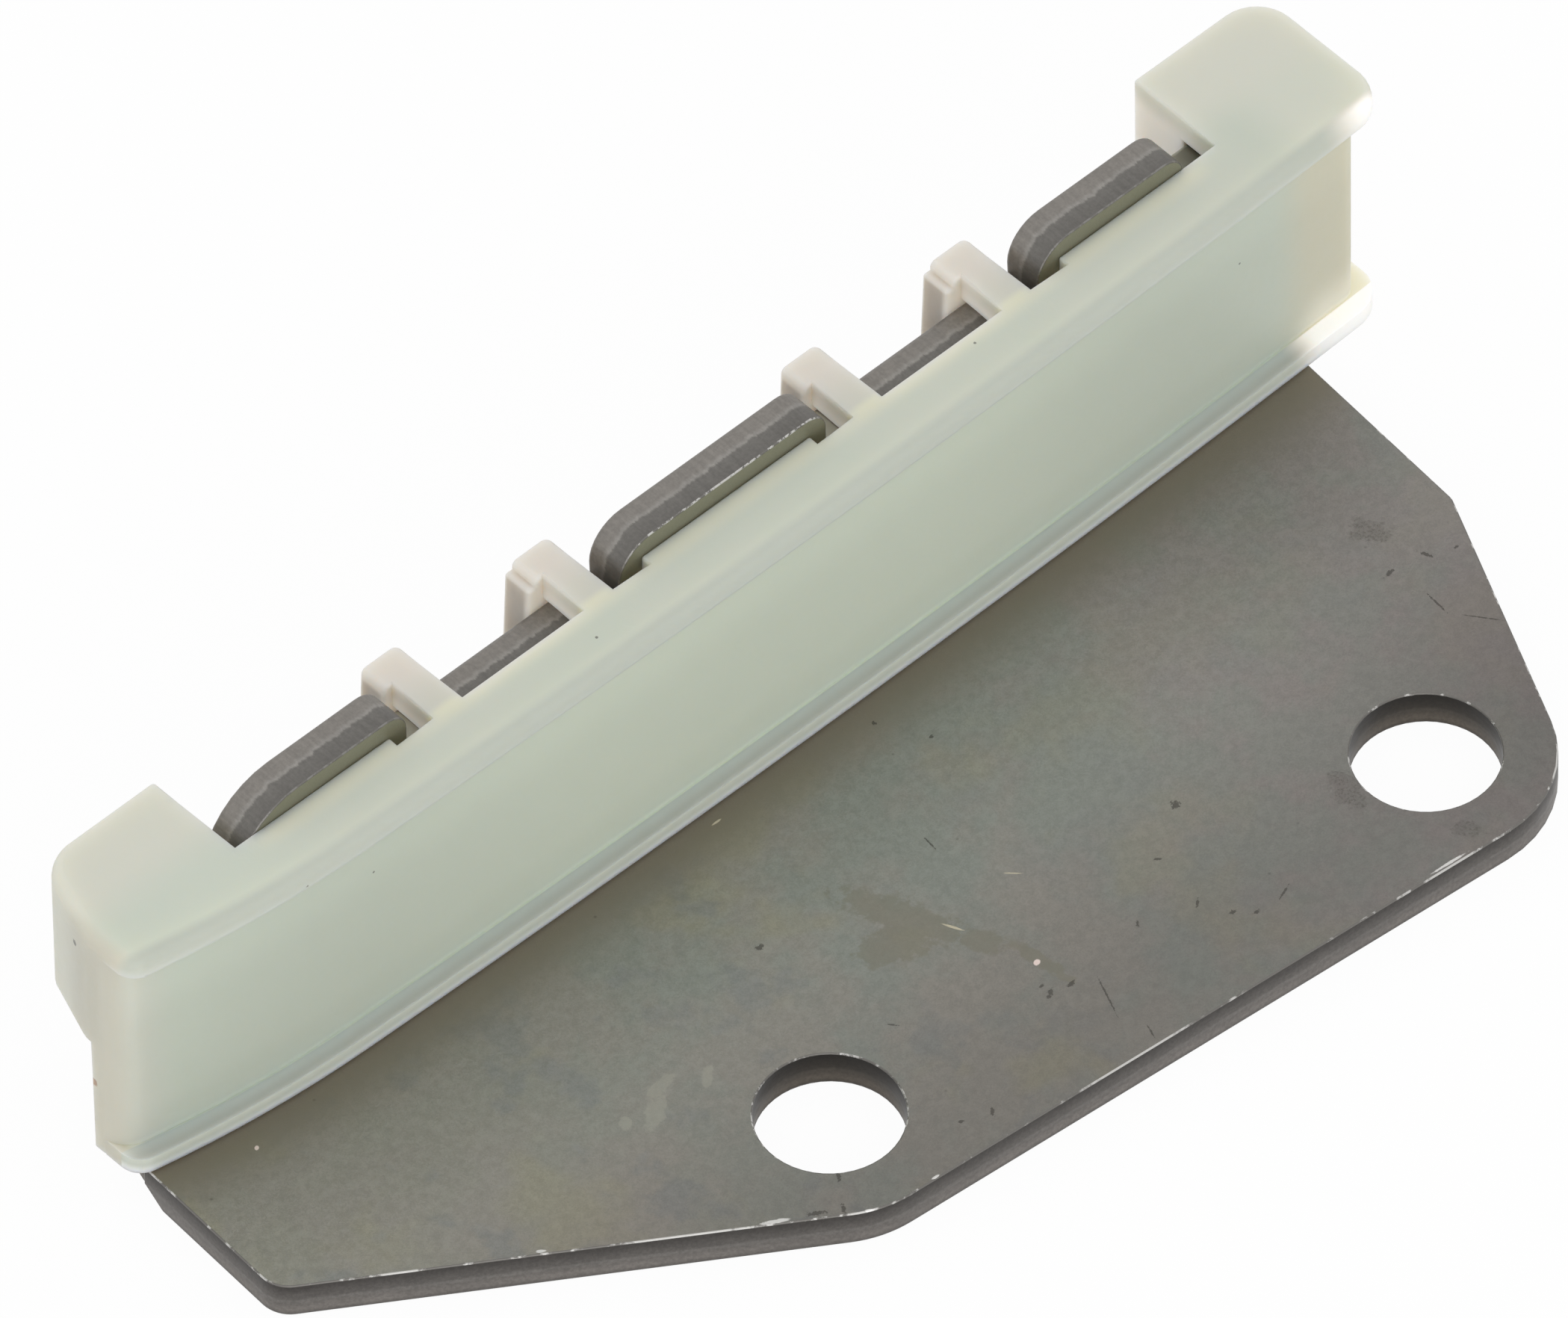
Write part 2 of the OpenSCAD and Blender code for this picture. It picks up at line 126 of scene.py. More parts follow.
class Nodes:
    """Adds shader nodes to one tree and joins them."""

    def __init__(self, tree):
        self.tree = tree

    def put(self, value, socket):
        if isinstance(value, bpy.types.NodeSocket):
            self.tree.links.new(value, socket)
        else:
            socket.default_value = value

    def add(self, kind, out=0, props=(), **inputs):
        node = self.tree.nodes.new(kind)
        for key, value in dict(props).items():
            setattr(node, key, value)
        for key, value in inputs.items():
            name = int(key[1:]) if key[0] == "i" and key[1:].isdigit() else key.replace("_", " ")
            self.put(value, node.inputs[name])
        return node.outputs[out]

    def math(self, op, a, b=0.0, c=0.0, clamp=False):
        return self.add("ShaderNodeMath", props={"operation": op, "use_clamp": clamp}, i0=a, i1=b, i2=c)

    def mix(self, fac, a, b, blend="MIX"):
        props = {"data_type": "RGBA", "blend_type": blend}
        return self.add("ShaderNodeMix", out=2, props=props, i0=fac, i6=a, i7=b)

    def ramp(self, value, low, high, to_low=0.0, to_high=1.0):
        props = {"interpolation_type": "SMOOTHSTEP"}
        ends = {"i1": low, "i2": high, "i3": to_low, "i4": to_high}
        return self.add("ShaderNodeMapRange", props=props, Value=value, **ends)

    def noise(self, vector, scale, detail=2.0, rough=0.5, warp=0.0):
        return self.add(
            "ShaderNodeTexNoise", Vector=vector, Scale=scale, Detail=detail, Roughness=rough, Distortion=warp,
        )

    def shift(self, vector, offset):
        return self.add("ShaderNodeVectorMath", props={"operation": "ADD"}, i0=vector, i1=offset)

    def parts(self, vector):
        return self.add("ShaderNodeSeparateXYZ", Vector=vector).node.outputs

    def joined(self, x, y, z):
        return self.add("ShaderNodeCombineXYZ", X=x, Y=y, Z=z)

    def here(self):
        """The place on the piece, in millimetres."""
        metres = self.add("ShaderNodeTexCoord", out="Object")
        return self.add("ShaderNodeVectorMath", props={"operation": "SCALE"}, i0=metres, Scale=1 / MM)

    def use(self, group, out=0, **inputs):
        return self.add("ShaderNodeGroup", out=out, props={"node_tree": group}, **inputs)

    def bump(self, height, strength, distance):
        return self.add("ShaderNodeBump", Height=height, Strength=strength, Distance=distance * MM)


def new_group(name, inputs, output):
    tree = bpy.data.node_groups.new(name, "ShaderNodeTree")
    for label, kind in inputs.items():
        tree.interface.new_socket(label, in_out="INPUT", socket_type="NodeSocket" + kind)
    tree.interface.new_socket(output, in_out="OUTPUT", socket_type="NodeSocketFloat")
    n = Nodes(tree)
    return tree, n, tree.nodes.new("NodeGroupInput").outputs, tree.nodes.new("NodeGroupOutput").inputs


def mark_group():
    """An oval mark, one inside and nought outside, with its rim pushed in and out by Torn."""
    inputs = {"Position": "Vector", "Place": "Vector", "Reach": "Vector", "Turn": "Float", "Torn": "Float"}
    tree, n, given, result = new_group("mark", inputs, "Mask")
    turn = n.joined(0.0, 0.0, given["Turn"])
    local = n.add(
        "ShaderNodeMapping", props={"vector_type": "TEXTURE"},
        Vector=given["Position"], Location=given["Place"], Rotation=turn, Scale=given["Reach"],
    )
    radius = n.add("ShaderNodeVectorMath", out="Value", props={"operation": "LENGTH"}, i0=local)
    n.put(n.ramp(n.math("ADD", radius, given["Torn"]), 0.7, 1.05, 1.0, 0.0), result["Mask"])
    return tree


def grain_group():
    """Fine short-stroked grain of a tumbled or moulded skin, from nought to one."""
    tree, n, given, result = new_group("grain", {"Position": "Vector", "Scale": "Float"}, "Height")
    fine = n.noise(given["Position"], given["Scale"], 3.0, 0.6, 1.6)
    apart = n.shift(given["Position"], (31.0, 17.0, 5.0))
    coarse = n.noise(apart, n.math("MULTIPLY", given["Scale"], 0.35), 2.0, 0.5)
    both = n.math("ADD", n.math("MULTIPLY", fine, 0.7), n.math("MULTIPLY", coarse, 0.3))
    n.put(n.ramp(both, 0.3, 0.7), result["Height"])
    return tree


def speck_group():
    """Sparse small specks of dirt."""
    inputs = {"Position": "Vector", "Scale": "Float", "Size": "Float", "Share": "Float"}
    tree, n, given, result = new_group("specks", inputs, "Mask")
    cells = n.add("ShaderNodeTexVoronoi", out="Distance", Vector=given["Position"], Scale=given["Scale"])
    chance = n.parts(cells.node.outputs["Color"])[0]
    near = n.ramp(cells, 0.0, given["Size"], 1.0, 0.0)
    n.put(n.math("MULTIPLY", near, n.math("LESS_THAN", chance, given["Share"])), result["Mask"])
    return tree


def cut_group():
    """Depth through the sheet, from nought on the burred side to one on the rolled side."""
    tree, n, given, result = new_group("through_sheet", {"Position": "Vector"}, "Depth")
    _, y, z = n.parts(given["Position"])
    back = n.math("MAXIMUM", n.math("SUBTRACT", y, BEND_Y), 0.0)
    down = n.math("MAXIMUM", n.math("SUBTRACT", BEND_OUT, z), 0.0)
    reach = n.math("SQRT", n.math("ADD", n.math("MULTIPLY", back, back), n.math("MULTIPLY", down, down)))
    n.put(n.math("DIVIDE", n.math("SUBTRACT", reach, BEND_IN), SHEET), result["Depth"])
    return tree


MARK = mark_group()
GRAIN = grain_group()
SPECKS = speck_group()
CUT = cut_group()


def new_material(name):
    mat = bpy.data.materials.new(name)
    mat.use_nodes = True
    mat.node_tree.nodes.clear()
    return mat, Nodes(mat.node_tree)


def shader_out(n, shader):
    n.put(shader, n.tree.nodes.new("ShaderNodeOutputMaterial").inputs["Surface"])


def principled(n, **inputs):
    return n.add("ShaderNodeBsdfPrincipled", **inputs)


def torn_rim(n, here):
    """Noise about nought that frays the rims of marks."""
    return n.math("SUBTRACT", n.noise(here, 1.6, 4.0, 0.65), 0.5)


def plate_marks(n, here, rim, marks, ragged):
    """One mask for a list of marks on the top of the plate."""
    torn = n.math("MULTIPLY", rim, ragged)
    mask = None
    for x, y, length, width, bearing in marks:
        one = n.use(
            MARK, Position=here, Place=(x, y, SHEET), Reach=(length, width, 0.4),
            Turn=math.radians(bearing), Torn=torn,
        )
        mask = one if mask is None else n.math("MAXIMUM", mask, one)
    return mask


def scaled(n, colour, shade):
    return n.mix(1.0, colour, n.joined(shade, shade, shade), "MULTIPLY")


def steel_face():
    """Dull passivated sheet: mottled olive, teal and brown greys under a fine grain, stained and scuffed,
    with painted shade by the lip and towards the front, a painted reflection of the nylon on the flange and
    painted glints on the burrs.
    """
    mat, n = new_material("steel_face")
    here = n.here()
    rim = torn_rim(n, here)
    x, y, z = n.parts(here)
    grain = n.use(GRAIN, Position=here, Scale=5.0)
    clouds = n.ramp(n.noise(here, 0.17, 4.0, 0.6), 0.38, 0.62)
    tinge = n.noise(n.shift(here, (40.0, 0.0, 0.0)), 0.13, 3.0, 0.55)
    # Olive at the lead-in end, teal in the middle, brown at the far end
    teal = n.mix(n.ramp(x, -22.0, 4.0), (0.272, 0.266, 0.232, 1), (0.250, 0.264, 0.240, 1))
    brown = n.mix(n.ramp(x, 14.0, 40.0), (0.280, 0.266, 0.240, 1), (0.272, 0.254, 0.241, 1))
    patchy = n.math("ADD", n.math("MULTIPLY", clouds, 0.8), n.ramp(x, 20.0, 48.0, 0.0, 0.45), clamp=True)
    colour = n.mix(patchy, teal, brown)
    olive = n.math("MULTIPLY", n.ramp(tinge, 0.5, 0.64, 0.0, 0.7), n.ramp(x, 8.0, 40.0, 1.0, 0.25))
    colour = n.mix(olive, colour, (0.292, 0.280, 0.216, 1))
    blotch = n.noise(n.shift(here, (0.0, 60.0, 0.0)), 0.24, 3.0, 0.6)
    blue = n.math("MULTIPLY", n.ramp(blotch, 0.54, 0.66, 0.0, 0.6), n.ramp(x, 2.0, 20.0, 1.0, 0.3))
    colour = n.mix(blue, colour, (0.222, 0.230, 0.226, 1))
    colour = n.mix(n.ramp(y, 10.0, 1.0), colour, (0.985, 0.958, 0.955, 1), "MULTIPLY")
    mottle = n.ramp(n.noise(here, 1.5, 3.0, 0.6), 0.3, 0.7, 0.97, 1.03)
    shade = n.math("MULTIPLY", n.ramp(grain, 0.0, 1.0, 0.89, 1.11), mottle)
    # Painted shade: the plate darkens towards its front edge as the light falls off; it is also darker
    # towards the far end.
    shade = n.math("MULTIPLY", shade, n.ramp(y, -8.0, 11.0, 0.76, 1.08))
    shade = n.math("MULTIPLY", shade, n.ramp(x, 34.0, 53.0, 1.0, 0.84))
    colour = scaled(n, colour, shade)
    # Painted shadow and dirt: the plate darkens and browns towards the lip of the shoe.
    on_plate = n.ramp(z, SHEET + 0.2, BEND_OUT, 1.0, 0.0)
    shadow_and_dirt_by_lip = n.math("MULTIPLY", n.ramp(lip_depth(n, x, y), -5.0, 0.4), on_plate)
    colour = n.mix(shadow_and_dirt_by_lip, colour, (0.200, 0.180, 0.135, 1))
    # Painted reflection: the upper part of the flange's front takes an olive tint from the nylon beside it.
    in_front = n.ramp(y, FLANGE_BACK - SHEET, FLANGE_BACK - SHEET + 0.3, 1.0, 0.0)
    nylon_reflection = n.math("MULTIPLY", n.ramp(z, FLANGE_TOP - 1, FLANGE_TOP + 1), in_front)
    colour = n.mix(nylon_reflection, colour, (0.285, 0.285, 0.215, 1))
    stain = n.math("MULTIPLY", plate_marks(n, here, rim, STAINS, 1.8), 0.42)
    colour = n.mix(stain, colour, (0.205, 0.192, 0.140, 1))
    smear = n.math("MULTIPLY", plate_marks(n, here, rim, PALE_SMEARS, 1.6), 0.35)
    colour = n.mix(smear, colour, (0.42, 0.41, 0.35, 1))
    frayed = n.math("SUBTRACT", n.noise(here, 5.0, 3.0, 0.7), 0.5)
    broken = n.ramp(frayed, -0.04, 0.12, 0.18, 0.6)
    scuff = n.math("MULTIPLY", plate_marks(n, here, rim, SCUFFS, 2.2), broken)
    colour = n.mix(scuff, colour, (0.10, 0.092, 0.082, 1))
    dirt = n.use(SPECKS, Position=here, Scale=0.55, Size=0.08, Share=0.25)
    dark = n.math("MAXIMUM", plate_marks(n, here, frayed, DARK_MARKS, 3.0), n.math("MULTIPLY", dirt, 0.7))
    colour = n.mix(n.math("MULTIPLY", dark, 0.7), colour, (0.06, 0.055, 0.048, 1))
    colour = n.mix(plate_marks(n, here, rim, LIGHT_SCRATCHES, 1.0), colour, (0.56, 0.51, 0.39, 1))
    colour = n.mix(plate_marks(n, here, rim, CHALK_SPECKS, 0.8), colour, (0.80, 0.67, 0.63, 1))
    # Painted glints on the bent-over burr lumps along the edges
    colour = n.mix(plate_marks(n, here, rim, BURR_GLINT_LUMPS, 1.2), colour, (0.66, 0.65, 0.63, 1))
    rough = n.math("ADD", n.ramp(grain, 0.0, 1.0, 0.44, 0.56), n.math("MULTIPLY", stain, 0.1))
    normal = n.bump(grain, 0.2, 0.03)
    shader_out(n, principled(n, Base_Color=colour, Metallic=0.75, Roughness=rough, Normal=normal))
    return mat


def in_holes(n, x, y):
    """One on the walls of the two bolt holes."""
    mask = 0.0
    for hole_x, hole_y in HOLES:
        across, up = n.math("SUBTRACT", x, hole_x), n.math("SUBTRACT", y, hole_y)
        reach = n.math("SQRT", n.math("ADD", n.math("MULTIPLY", across, across), n.math("MULTIPLY", up, up)))
        mask = n.math("MAXIMUM", mask, n.math("LESS_THAN", reach, HOLE_R + 0.5))
    return mask


def steel_sheared():
    """Punched edge: a dark torn zone by the burr, a jagged light line, a smoother zone by the roll."""
    mat, n = new_material("steel_sheared")
    here = n.here()
    x, y, z = n.parts(here)
    depth = n.use(CUT, Position=here)
    upright = n.ramp(z, SHEET + 0.5, BEND_OUT)
    # Strokes run along the plate's edge, and square to the edge on the flange
    drawn = n.noise(n.joined(n.math("MULTIPLY", x, 0.12), n.math("MULTIPLY", y, 0.12), depth), 3.2, 4.0, 0.65)
    pressed = n.noise(n.joined(x, z, n.math("MULTIPLY", depth, 0.4)), 3.6, 4.0, 0.65)
    strokes = n.add("ShaderNodeMix", i0=upright, i2=drawn, i3=pressed)
    waver = n.math("SUBTRACT", n.noise(n.joined(x, z, 0.0), 1.3, 5.0, 0.8), 0.5)
    zone = n.math("ADD", depth, n.math("MULTIPLY", waver, n.ramp(upright, 0.0, 1.0, 0.12, 0.32)))
    # On the plate, whose cut edges face sideways, the zones are painted darker, and on the flange, whose cut
    # edges face up, lighter: painted shade and light
    torn_top = n.mix(upright, (0.054, 0.049, 0.045, 1), (0.146, 0.139, 0.129, 1))
    torn_foot = n.mix(upright, (0.118, 0.109, 0.101, 1), (0.165, 0.158, 0.146, 1))
    smooth = n.mix(upright, (0.178, 0.163, 0.150, 1), (0.232, 0.217, 0.198, 1))
    torn = n.mix(n.ramp(depth, 0.0, 0.5), torn_top, torn_foot)
    colour = n.mix(n.ramp(zone, 0.42, n.ramp(upright, 0.0, 1.0, 0.78, 0.5)), torn, smooth)
    line = n.math("MULTIPLY", n.ramp(zone, 0.43, 0.5), n.ramp(zone, 0.5, 0.62, 1.0, 0.0))
    line = n.math("MULTIPLY", line, n.ramp(upright, 0.0, 1.0, 0.12, 0.42))
    colour = n.mix(line, colour, (0.36, 0.35, 0.33, 1))
    least, most = n.ramp(upright, 0.0, 1.0, 0.86, 0.93), n.ramp(upright, 0.0, 1.0, 1.14, 1.07)
    speckle = n.ramp(n.noise(here, 4.5, 3.0, 0.65), 0.3, 0.7, least, most)
    colour = scaled(n, colour, n.math("MULTIPLY", n.ramp(strokes, 0.25, 0.75, 0.88, 1.12), speckle))
    # Painted shade: the walls of the bolt holes are darkened, most towards the burred top, and made browner.
    shaded_bore = in_holes(n, x, y)
    colour = scaled(n, colour, n.ramp(shaded_bore, 0.0, 1.0, 1.0, n.ramp(depth, 0.3, 0.8, 0.28, 0.54)))
    colour = n.mix(shaded_bore, colour, (1.06, 0.98, 0.86, 1), "MULTIPLY")
    at_roll = n.math("MULTIPLY", n.ramp(depth, 0.74, 0.95), n.ramp(upright, 0.0, 1.0, 1.0, 0.0))
    colour = scaled(n, colour, n.ramp(at_roll, 0.0, 1.0, 1.0, 0.6))
    # Light from the nylon fills the gaps at the far ends of the tabs
    for low, high in TAB_GAPS:
        inside = n.math("MULTIPLY", n.ramp(x, low - 0.1, low), n.ramp(x, high, high + 0.1, 1.0, 0.0))
        inside = n.math("MULTIPLY", inside, n.ramp(z, FLANGE_TOP - 0.1, FLANGE_TOP + 0.3, 1.0, 0.0))
        colour = n.mix(n.math("MULTIPLY", inside, upright), colour, (0.48, 0.48, 0.41, 1))
    rough = n.ramp(strokes, 0.2, 0.8, 0.40, 0.54)
    normal = n.bump(strokes, 0.2, 0.05)
    shader_out(n, principled(n, Base_Color=colour, Metallic=0.75, Roughness=rough, Normal=normal))
    return mat


def steel_burr():
    """The burr left on the punched edge: painted bright glints where it is bent over, dull where it broke
    away.
    """
    mat, n = new_material("steel_burr")
    here = n.here()
    rim = torn_rim(n, here)
    bright = n.ramp(n.noise(here, 0.9, 4.0, 0.7), 0.53, 0.63)
    bright = n.math("MAXIMUM", bright, plate_marks(n, here, rim, BURR_GLINT_LINES, 1.6))
    # On the tabs the burr's painted glint is a fine broken line, brightest along the middle one
    x, _, z = n.parts(here)
    on_tabs = n.ramp(z, FLANGE_TOP - 2.0, FLANGE_TOP)
    middle_tab_glint = n.math("MULTIPLY", n.ramp(x, *MIDDLE_TAB_GLINT[:2]), n.ramp(x, *MIDDLE_TAB_GLINT[2:], 1.0, 0.0))
    broken = n.ramp(n.noise(here, 2.2, 4.0, 0.75), 0.47, 0.54)
    broken = n.math("MULTIPLY", broken, n.ramp(middle_tab_glint, 0.0, 1.0, 0.15, 1.0))
    bright = n.add("ShaderNodeMix", i0=on_tabs, i2=bright, i3=broken)
    colour = n.mix(bright, (0.17, 0.162, 0.150, 1), (0.56, 0.55, 0.53, 1))
    colour = n.mix(plate_marks(n, here, rim, BURR_GLINT_LUMPS, 1.2), colour, (0.80, 0.79, 0.77, 1))
    normal = n.bump(n.noise(here, 6.0, 3.0, 0.6), 0.4, 0.05)
    shader_out(n, principled(n, Base_Color=colour, Metallic=0.75, Roughness=0.4, Normal=normal))
    return mat


def lip_depth(n, x, y):
    """Distance back from the lips' front, which bows along the chain's run and turns away at the lead-in."""
    from_middle = n.math("SUBTRACT", x, SHOE_X)
    bow = n.math("DIVIDE", n.math("MULTIPLY", from_middle, from_middle), 2 * RUN_R)
    past = n.math("MAXIMUM", n.math("SUBTRACT", -LEAD_START, from_middle), 0.0)
    turn = n.math("DIVIDE", n.math("MULTIPLY", past, past), 2 * LEAD_R)
    return n.math("SUBTRACT", n.math("SUBTRACT", n.math("SUBTRACT", y, LIP_FRONT), bow), turn)


def hook_sides(n, x, y, z):
    """One on the sides of the hooks that face the lead-in end, fading downward."""
    nearest = 99.0
    for finger in FINGERS:
        nearest = n.math("MINIMUM", nearest, n.math("ABSOLUTE", n.math("SUBTRACT", x, finger - 2.0)))
    along = n.math("MULTIPLY", n.ramp(y, 27.6, 28.2), n.ramp(y, 29.45, 29.65, 1.0, 0.0))
    down = n.math("MULTIPLY", n.ramp(z, 20.1, 19.6), n.ramp(z, 11.0, 16.0))
    return n.math("MULTIPLY", n.ramp(nearest, 0.45, 0.6, 1.0, 0.0), n.math("MULTIPLY", along, down))


def nylon():
    """Milky, translucent nylon, with painted light and shade: bluish and darker in the thin lips, warm and
    pale where no steel lies behind.
    """
    mat, n = new_material("nylon")
    here = n.here()
    x, y, z = n.parts(here)
    from_middle = n.math("ABSOLUTE", n.math("SUBTRACT", x, SHOE_X))
    depth = lip_depth(n, x, y)
    upper = n.ramp(z, 6.0, 7.0)
    # Painted light: past the end of the steel, as if lit through, the top is paler and warmer and the channel
    # warmer.
    backlit_off_steel = n.ramp(x, FLANGE_RIGHT - 2.2, FLANGE_RIGHT + 1.5)
    clouds = n.ramp(n.noise(here, 0.12, 3.0, 0.5), 0.35, 0.65)
    top = n.mix(clouds, (0.594, 0.632, 0.546, 1), (0.606, 0.634, 0.554, 1))
    top = n.mix(n.ramp(x, -12.0, -24.0), top, (0.618, 0.662, 0.575, 1))
    top = n.mix(backlit_off_steel, top, (0.660, 0.678, 0.588, 1))
    channel = n.mix(n.ramp(from_middle, 10.0, 36.0), (0.612, 0.662, 0.555, 1), (0.553, 0.600, 0.512, 1))
    channel = n.mix(backlit_off_steel, channel, (0.612, 0.598, 0.474, 1))
    channel = n.mix(n.ramp(x, -26.5, -30.0), channel, (0.590, 0.605, 0.530, 1))
    # The channel is a little lighter high up and darker low down; painted light at its foot lifts the shade
    # in the crease.
    by_height = n.math("MULTIPLY", n.ramp(z, 13.0, 17.5, 1.0, 1.07), n.ramp(z, 4.3, 7.5, 0.92, 1.0))
    channel = scaled(n, channel, by_height)
    channel = scaled(n, channel, n.ramp(z, 3.9, 4.4, 1.3, 1.0))
    colour = n.mix(n.ramp(z, 18.9, 19.6, 1.0, 0.0), top, channel)
    # Painted light: between the end blocks the top beside the tabs and the fingers is painted lighter and
    # yellower, lifting the tabs' shade and tinted by the steel behind
    between = n.ramp(from_middle, 34.0, 36.5, 1.0, 0.0)
    painted_light_by_tabs = n.math("MULTIPLY", n.ramp(y, 23.2, 24.5), between)
    colour = n.mix(painted_light_by_tabs, colour, (0.720, 0.715, 0.575, 1))
    colour = n.mix(n.math("MULTIPLY", n.ramp(y, 24.5, 25.1), between), colour, (0.625, 0.622, 0.550, 1))
    # Painted light: behind the flange, where no steel lies behind, the fingers are painted warm and pale as
    # if lit through and the blocks paler; the hook sides facing the lead-in end are painted darker, painted
    # shade.
    on_blocks = n.ramp(from_middle, 26.0, 34.0)
    fingers = n.mix(hook_sides(n, x, y, z), (0.710, 0.672, 0.612, 1), (0.500, 0.462, 0.412, 1))
    behind = n.mix(on_blocks, fingers, (0.680, 0.685, 0.600, 1))
    colour = n.mix(n.ramp(y, FLANGE_BACK - 2.8, FLANGE_BACK + 0.6), colour, behind)
    # Painted shade: the lead-in end is painted darker and warmer on its end face.
    colour = n.mix(n.ramp(x, -29.6, -30.7), colour, (0.577, 0.566, 0.487, 1))
    # Light gathers in the pockets beside the fingers and blocks
    deep = n.ramp(z, 18.4, 20.4, 1.0, 0.0)
    beside = n.math("MULTIPLY", n.ramp(y, 24.3, 24.7), n.ramp(y, 27.3, 28.3, 1.0, 0.0))
    beside = n.math("MULTIPLY", beside, n.ramp(from_middle, 36.0, 36.4, 1.0, 0.0))
    block_near, block_far = n.ramp(from_middle, 36.3, 36.5), n.ramp(from_middle, 37.1, 37.3, 1.0, 0.0)
    block_face = n.math("MULTIPLY", n.math("MULTIPLY", block_near, block_far), n.ramp(y, 25.0, 25.4))
    pocket = n.math("MULTIPLY", n.math("MAXIMUM", beside, n.math("MULTIPLY", block_face, 0.6)), deep)
    colour = n.mix(pocket, colour, (0.90, 0.85, 0.78, 1))
    # Painted light and shade on the lips: the bottom lip's front is pale at its foot and darker at its top,
    # its top face darker and bluish towards the edge, and the top lip's front and rounding darker and bluish.
    front = n.mix(n.ramp(z, 2.75, 3.5), (0.98, 1.0, 0.93, 1), (0.530, 0.565, 0.505, 1))
    low_top = n.mix(n.ramp(depth, 0.1, 1.1), (0.385, 0.410, 0.385, 1), (0.545, 0.585, 0.550, 1))
    bottom_lip = n.mix(n.ramp(z, 3.87, 3.93), front, low_top)
    top_lip = n.mix(n.ramp(z, 19.4, 20.1), (0.545, 0.585, 0.535, 1), (0.483, 0.518, 0.468, 1))
    soft_lip = n.ramp(depth, 0.5, LIP_DEPTH, 1.0, 0.0)
    crisp_lip = n.ramp(depth, LIP_DEPTH - 0.12, LIP_DEPTH - 0.02, 1.0, 0.0)
    in_lip = n.add("ShaderNodeMix", i0=upper, i2=crisp_lip, i3=soft_lip)
    colour = n.mix(in_lip, colour, n.mix(upper, bottom_lip, top_lip))
    # Past the end of the plate light runs out of the lips and the foot of the channel
    lit_from = n.ramp(upper, 0.0, 1.0, 54.8, 57.4)
    lit = n.math("MULTIPLY", n.ramp(x, lit_from, n.ramp(upper, 0.0, 1.0, 57.4, 61.5)), in_lip)
    colour = n.mix(lit, colour, n.mix(lit, (0.86, 0.76, 0.69, 1), (0.96, 0.93, 0.88, 1)))
    low = n.math("MULTIPLY", n.ramp(z, 3.9, 7.5, 0.8, 0.0), n.ramp(x, 55.5, 58.5))
    lit = n.math("MULTIPLY", lit, n.ramp(z, 3.8, 3.95, 0.3, 1.0))
    gathered = n.math("MAXIMUM", pocket, n.math("MAXIMUM", low, lit))
    grain = n.use(GRAIN, Position=here, Scale=1.1)
    torn = n.math("SUBTRACT", n.noise(here, 6.0, 2.0, 0.6), 0.5)
    for place, reach, dirt in NYLON_DIRT:
        speck = n.use(MARK, Position=here, Place=place, Reach=(reach, reach, reach), Turn=0.0, Torn=torn)
        colour = n.mix(n.math("MULTIPLY", speck, 0.75), colour, dirt)
    # The emission paints the gathered light as a faint glow.
    shader_out(n, principled(
        n,
        Base_Color=colour,
        Roughness=n.ramp(grain, 0.0, 1.0, 0.46, 0.56),
        Subsurface_Weight=1.0,
        Subsurface_Radius=(1.0, 0.85, 0.7),
        Subsurface_Scale=0.0024,
        IOR=1.5,
        Emission_Color=n.mix(gathered, (0, 0, 0, 1), (1.0, 0.95, 0.88, 1)),
        Emission_Strength=0.2,
        Normal=n.bump(grain, 0.08, 0.05),
    ))
    return mat


def solid_copy(node):
    """The CAD node's mesh, merged, with its flat faces joined, as a bmesh."""
    bm = bmesh.new()
    bm.from_mesh(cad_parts[node].data)
    bmesh.ops.remove_doubles(bm, verts=bm.verts, dist=2e-6)
    bmesh.ops.dissolve_limit(
        bm, angle_limit=math.radians(0.1), use_dissolve_boundaries=False,
        verts=bm.verts[:], edges=bm.edges[:], delimit={"NORMAL"},
    )
    return bm


def bevel(bm, edges, width, segments, clamp=True):
    edges = [e for e in edges if e.is_valid]
    return bmesh.ops.bevel(
        bm, geom=edges, offset=width * MM, offset_type="OFFSET", segments=segments,
        profile=0.5, affect="EDGES", material=-1, clamp_overlap=clamp,
    )["faces"]


def finish_piece(bm, name, materials, node):
    mesh = bpy.data.meshes.new(name)
    for f in bm.faces:
        f.smooth = True
    bm.to_mesh(mesh)
    bm.free()
    for m in materials:
        mesh.materials.append(m)
    mesh.set_sharp_from_angle(angle=math.radians(40))
    obj = bpy.data.objects.new(name, mesh)
    scene.collection.objects.link(obj)
    normals = obj.modifiers.new("normals", "WEIGHTED_NORMAL")
    normals.mode = "FACE_AREA"
    normals.weight = 80
    normals.keep_sharp = True
    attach(obj, "root")
    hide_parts(node)
    return obj


def sharp(bm, degrees=30):
    return [e for e in bm.edges if len(e.link_faces) == 2 and e.calc_face_angle(0.0) > math.radians(degrees)]


def outer_skin(face):
    """True on the side that the punch rounded: underside, outside of the bend, back of the flange."""
    c, nrm = face.calc_center_median() / MM, face.normal
    if nrm.z < -0.9 and c.z < 0.01:
        return True
    if nrm.y > 0.9 and abs(c.y - FLANGE_BACK) < 0.01:
        return True
    r = math.hypot(c.y - BEND_Y, c.z - BEND_OUT)
    return abs(nrm.x) < 0.1 and c.y > BEND_Y and c.z < BEND_OUT and r > BEND_OUT - 0.05


